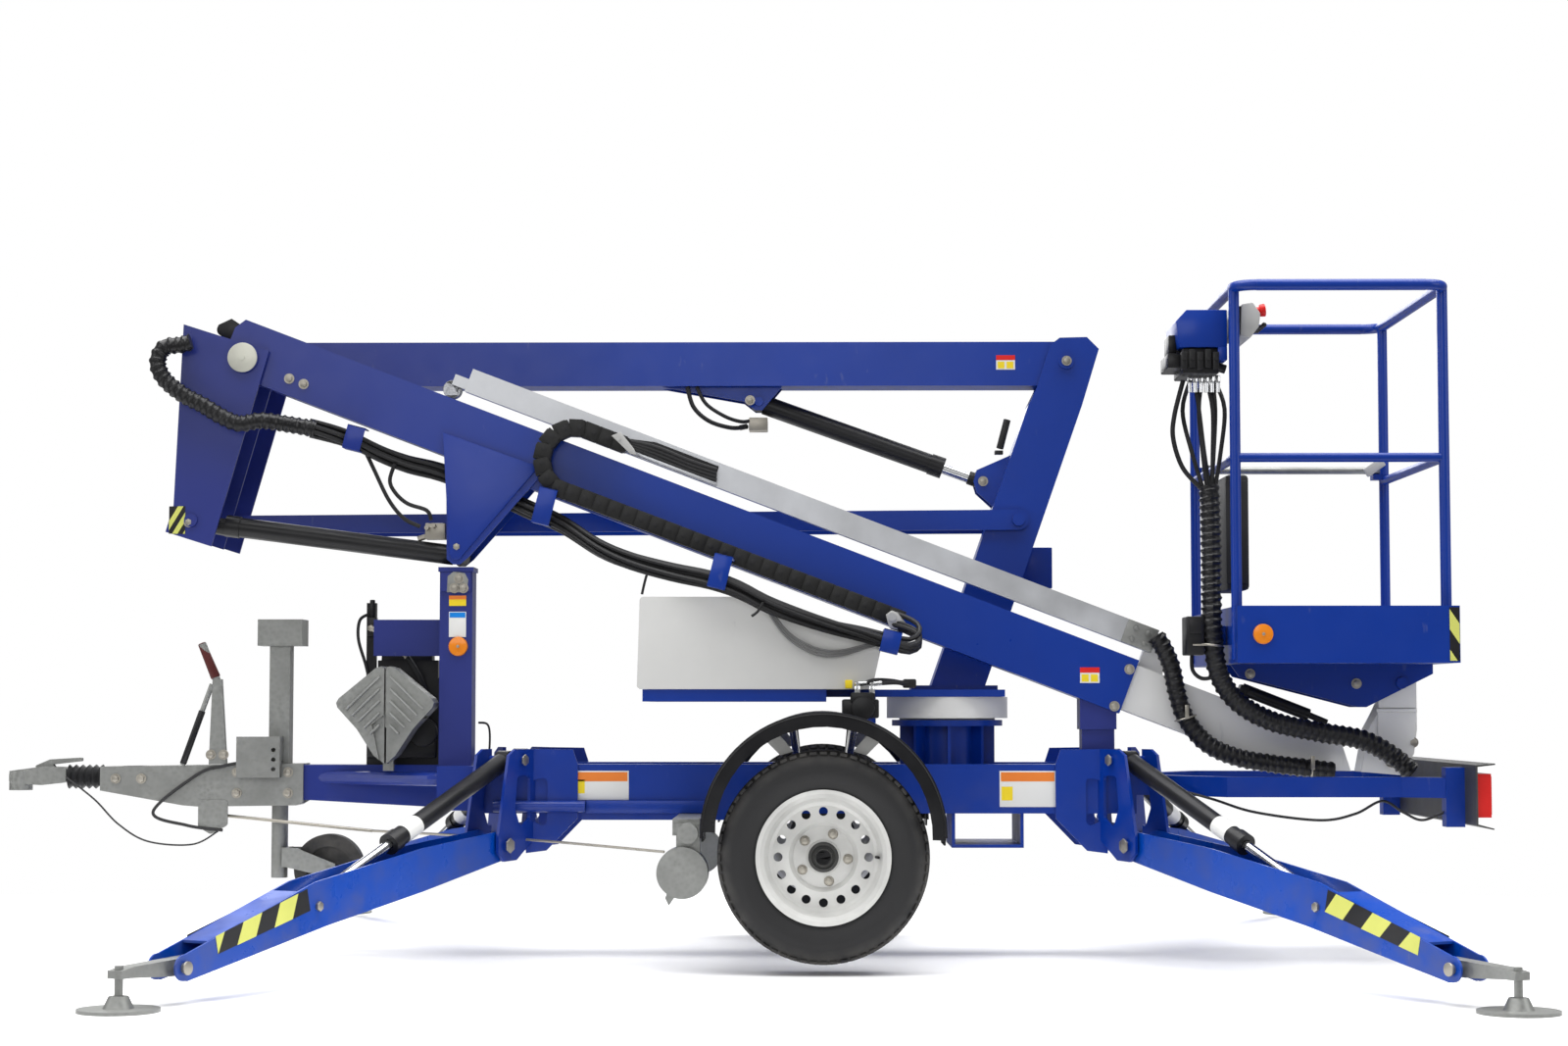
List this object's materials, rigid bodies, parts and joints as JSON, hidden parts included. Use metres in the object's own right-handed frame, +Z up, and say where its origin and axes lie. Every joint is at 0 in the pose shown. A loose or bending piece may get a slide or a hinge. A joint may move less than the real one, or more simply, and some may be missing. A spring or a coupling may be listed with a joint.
{
  "type": "towable boom lift",
  "caption": "Towable articulated boom lift standing on four hydraulic outriggers, its folded booms, slewing deck, telescopic upper boom and man cage stowed over a two-wheel drawbar chassis.",
  "frame": {"origin": "on the ground at the middle of the machine's length, under its middle plane", "axes": "+Z up, -X towards the tow coupling, +X towards the tail lamps, +Y the side of the lower boom and the cage's entrance"},
  "size_m": [4.509, 3.646, 2.044],
  "materials": {
    "blue_paint": "gloss machine enamel, scuffed at edges",
    "faded_blue": "sun-faded machine enamel",
    "white_paint": "gloss white enamel",
    "zinc": "hot-dip galvanised, spangled",
    "black_paint": "satin black enamel",
    "chrome_rod": "hard chrome",
    "aluminium": "mill-finish aluminium",
    "black_rubber": "hose rubber and cable spiral",
    "tyre_rubber": "tyre rubber, dusty",
    "black_plastic": "moulded black plastic",
    "cover_plastic": "white glass-fibre cover",
    "grey_sheet": "dark grey sheet",
    "red_lens": "red lamp lens"
  },
  "bodies": {
    "chassis": {"chassis_frame": "blue_paint", "drawbar_tubes": "blue_paint", "outrigger_brackets": "blue_paint", "drawbar_housing": "zinc", "coupling_head": "zinc", "drawbar_bellows": "black_rubber", "jack_sleeve": "zinc", "boom_post": "blue_paint", "engine_pack": "black_paint", "wheel_chocks": "zinc", "axle": "black_paint", "mudguards": "black_plastic", "traction_drives": "zinc", "boom_rest": "black_rubber", "light_board": "grey_sheet", "tail_lamps": "red_lens", "slew_ring": "white_paint"},
    "wheel_left": {"tyre_left": "tyre_rubber", "rim_left": "white_paint"},
    "wheel_right": {"tyre_right": "tyre_rubber", "rim_right": "white_paint"},
    "jack": {"jack_leg": "zinc"},
    "jockey": {"jockey_wheel": "tyre_rubber"},
    "turntable": {"turntable": "blue_paint", "power_cover": "cover_plastic", "king_post": "blue_paint"},
    "lower_boom": {"lower_boom": "blue_paint"},
    "tie": {"tie_link": "blue_paint"},
    "knuckle": {"knuckle": "faded_blue"},
    "upper_boom": {"upper_boom": "blue_paint", "energy_chain": "black_plastic", "boom_hoses": "black_rubber"},
    "inner_boom": {"inner_boom": "white_paint", "chain_rail": "aluminium", "tail_hoses": "black_rubber"},
    "lift_barrel": {"lift_barrel": "black_paint"},
    "lift_rod": {"lift_rod": "chrome_rod"},
    "luff_barrel": {"luff_barrel": "black_paint"},
    "luff_rod": {"luff_rod": "chrome_rod"},
    "cage": {"cage_frame": "blue_paint", "cage_tray": "blue_paint", "console": "blue_paint", "cage_hoses": "black_rubber"},
    "gate": {"gate_bar": "zinc"},
    "leg_front_left": {"leg_front_left": "blue_paint", "foot_front_left": "zinc"},
    "barrel_front_left": {"barrel_front_left": "black_paint"},
    "rod_front_left": {"rod_front_left": "chrome_rod"},
    "leg_front_right": {"leg_front_right": "blue_paint", "foot_front_right": "zinc"},
    "barrel_front_right": {"barrel_front_right": "black_paint"},
    "rod_front_right": {"rod_front_right": "chrome_rod"},
    "leg_rear_left": {"leg_rear_left": "blue_paint", "foot_rear_left": "zinc"},
    "barrel_rear_left": {"barrel_rear_left": "black_paint"},
    "rod_rear_left": {"rod_rear_left": "chrome_rod"},
    "leg_rear_right": {"leg_rear_right": "blue_paint", "foot_rear_right": "zinc"},
    "barrel_rear_right": {"barrel_rear_right": "black_paint"},
    "rod_rear_right": {"rod_rear_right": "chrome_rod"}
  },
  "joints": [
    {"name": "wheel_left_spin", "type": "hinge", "parent": "chassis", "child": "wheel_left", "pos_m": [0.31, -0.68, 0.337], "axis": [0, 1, 0], "continuous": true},
    {"name": "wheel_right_spin", "type": "hinge", "parent": "chassis", "child": "wheel_right", "pos_m": [0.31, 0.68, 0.337], "axis": [0, 1, 0], "continuous": true},
    {"name": "jack_slide", "type": "slide", "parent": "chassis", "child": "jack", "axis": [0, 0, -1], "range_m": [-0.08, 0.15]},
    {"name": "jockey_spin", "type": "hinge", "parent": "jack", "child": "jockey", "pos_m": [-1.237, 0, 0.263], "axis": [0, 1, 0], "continuous": true},
    {"name": "leg_front_left_lift", "type": "hinge", "parent": "chassis", "child": "leg_front_left", "pos_m": [-0.7, -0.3, 0.351], "axis": [-0.8772, 0.4801, 0], "range_deg": [0, 82]},
    {"name": "barrel_front_left_swing", "type": "hinge", "parent": "chassis", "child": "barrel_front_left", "pos_m": [-0.66304, -0.23245, 0.607], "axis": [-0.8772, 0.4801, 0], "range_deg": [0, 83.22]},
    {"name": "rod_front_left_slide", "type": "slide", "parent": "barrel_front_left", "child": "rod_front_left", "axis": [-0.4454, -0.8138, -0.3732], "range_m": [-0.35052, 0]},
    {"name": "leg_front_right_lift", "type": "hinge", "parent": "chassis", "child": "leg_front_right", "pos_m": [-0.7, 0.3, 0.351], "axis": [0.8772, 0.4801, 0], "range_deg": [0, 82]},
    {"name": "barrel_front_right_swing", "type": "hinge", "parent": "chassis", "child": "barrel_front_right", "pos_m": [-0.66304, 0.23245, 0.607], "axis": [0.8772, 0.4801, 0], "range_deg": [0, 83.22]},
    {"name": "rod_front_right_slide", "type": "slide", "parent": "barrel_front_right", "child": "rod_front_right", "axis": [-0.4454, 0.8138, -0.3732], "range_m": [-0.35052, 0]},
    {"name": "leg_rear_left_lift", "type": "hinge", "parent": "chassis", "child": "leg_rear_left", "pos_m": [1.28, -0.3, 0.351], "axis": [-0.8772, -0.4801, 0], "range_deg": [0, 82]},
    {"name": "barrel_rear_left_swing", "type": "hinge", "parent": "chassis", "child": "barrel_rear_left", "pos_m": [1.24303, -0.23245, 0.607], "axis": [-0.8772, -0.4801, 0], "range_deg": [0, 83.22]},
    {"name": "rod_rear_left_slide", "type": "slide", "parent": "barrel_rear_left", "child": "rod_rear_left", "axis": [0.4454, -0.8138, -0.3732], "range_m": [-0.35052, 0]},
    {"name": "leg_rear_right_lift", "type": "hinge", "parent": "chassis", "child": "leg_rear_right", "pos_m": [1.28, 0.3, 0.351], "axis": [0.8772, -0.4801, 0], "range_deg": [0, 82]},
    {"name": "barrel_rear_right_swing", "type": "hinge", "parent": "chassis", "child": "barrel_rear_right", "pos_m": [1.24303, 0.23245, 0.607], "axis": [0.8772, -0.4801, 0], "range_deg": [0, 83.22]},
    {"name": "rod_rear_right_slide", "type": "slide", "parent": "barrel_rear_right", "child": "rod_rear_right", "axis": [0.4454, 0.8138, -0.3732], "range_m": [-0.35052, 0]},
    {"name": "slew", "type": "hinge", "parent": "chassis", "child": "turntable", "pos_m": [0.7, 0, 0.8], "axis": [0, 0, 1], "range_deg": [-180, 180]},
    {"name": "lower_lift", "type": "hinge", "parent": "turntable", "child": "lower_boom", "pos_m": [1.083, 0.11, 1.862], "axis": [0, 1, 0], "range_deg": [0, 75]},
    {"name": "tie_swing", "type": "hinge", "parent": "turntable", "child": "tie", "pos_m": [0.928, 0.11, 1.358], "axis": [0, 1, 0], "range_deg": [0, 75.01]},
    {"name": "knuckle_level", "type": "hinge", "parent": "lower_boom", "child": "knuckle", "pos_m": [-1.486, 0.11, 1.848], "axis": [0, -1, 0], "range_deg": [0, 75.01]},
    {"name": "lift_barrel_swing", "type": "hinge", "parent": "lower_boom", "child": "lift_barrel", "pos_m": [0.107, 0.11, 1.74], "axis": [0, -1, 0], "range_deg": [0, 9.53]},
    {"name": "lift_rod_slide", "type": "slide", "parent": "lift_barrel", "child": "lift_rod", "axis": [0.9412, 0, -0.3379], "range_m": [0, 0.53627]},
    {"name": "upper_lift", "type": "hinge", "parent": "knuckle", "child": "upper_boom", "pos_m": [-1.486, -0.13, 1.848], "axis": [0, -1, 0], "range_deg": [0, 90]},
    {"name": "luff_barrel_swing", "type": "hinge", "parent": "upper_boom", "child": "luff_barrel", "pos_m": [-0.819, -0.13, 1.237], "axis": [0, -1, 0], "range_deg": [-25.78, 0]},
    {"name": "luff_rod_slide", "type": "slide", "parent": "luff_barrel", "child": "luff_rod", "axis": [-0.9916, 0, 0.1291], "range_m": [0, 0.57055]},
    {"name": "telescope", "type": "slide", "parent": "upper_boom", "child": "inner_boom", "axis": [0.9339, 0, -0.3576], "range_m": [0, 2.1002]},
    {"name": "cage_level", "type": "hinge", "parent": "inner_boom", "child": "cage", "pos_m": [2.084, -0.13, 0.842], "axis": [0, 1, 0], "range_deg": [0, 90.01]},
    {"name": "gate_lift", "type": "hinge", "parent": "cage", "child": "gate", "pos_m": [1.582, 0.42, 1.546], "axis": [0, -1, 0], "range_deg": [0, 90]}
  ],
  "couplings": [
    {"joint": "barrel_front_left_swing", "follows": "leg_front_left_lift", "ratio": 1.0147},
    {"joint": "rod_front_left_slide", "follows": "leg_front_left_lift", "m_per_rad": -0.24478},
    {"joint": "barrel_front_right_swing", "follows": "leg_front_right_lift", "ratio": 1.0147},
    {"joint": "rod_front_right_slide", "follows": "leg_front_right_lift", "m_per_rad": -0.24478},
    {"joint": "barrel_rear_left_swing", "follows": "leg_rear_left_lift", "ratio": 1.0147},
    {"joint": "rod_rear_left_slide", "follows": "leg_rear_left_lift", "m_per_rad": -0.24478},
    {"joint": "barrel_rear_right_swing", "follows": "leg_rear_right_lift", "ratio": 1.0147},
    {"joint": "rod_rear_right_slide", "follows": "leg_rear_right_lift", "m_per_rad": -0.24478},
    {"joint": "slew", "follows": "upper_lift", "ratio": 1},
    {"joint": "telescope", "follows": "upper_lift", "m_per_rad": 1.3369},
    {"joint": "cage_level", "follows": "upper_lift", "ratio": 1},
    {"joint": "luff_barrel_swing", "follows": "upper_lift", "ratio": -0.28638},
    {"joint": "luff_rod_slide", "follows": "upper_lift", "m_per_rad": 0.3631},
    {"joint": "tie_swing", "follows": "lower_lift", "ratio": 1},
    {"joint": "knuckle_level", "follows": "lower_lift", "ratio": 1},
    {"joint": "lift_barrel_swing", "follows": "lower_lift", "ratio": 0.12687},
    {"joint": "lift_rod_slide", "follows": "lower_lift", "m_per_rad": 0.40953}
  ]
}
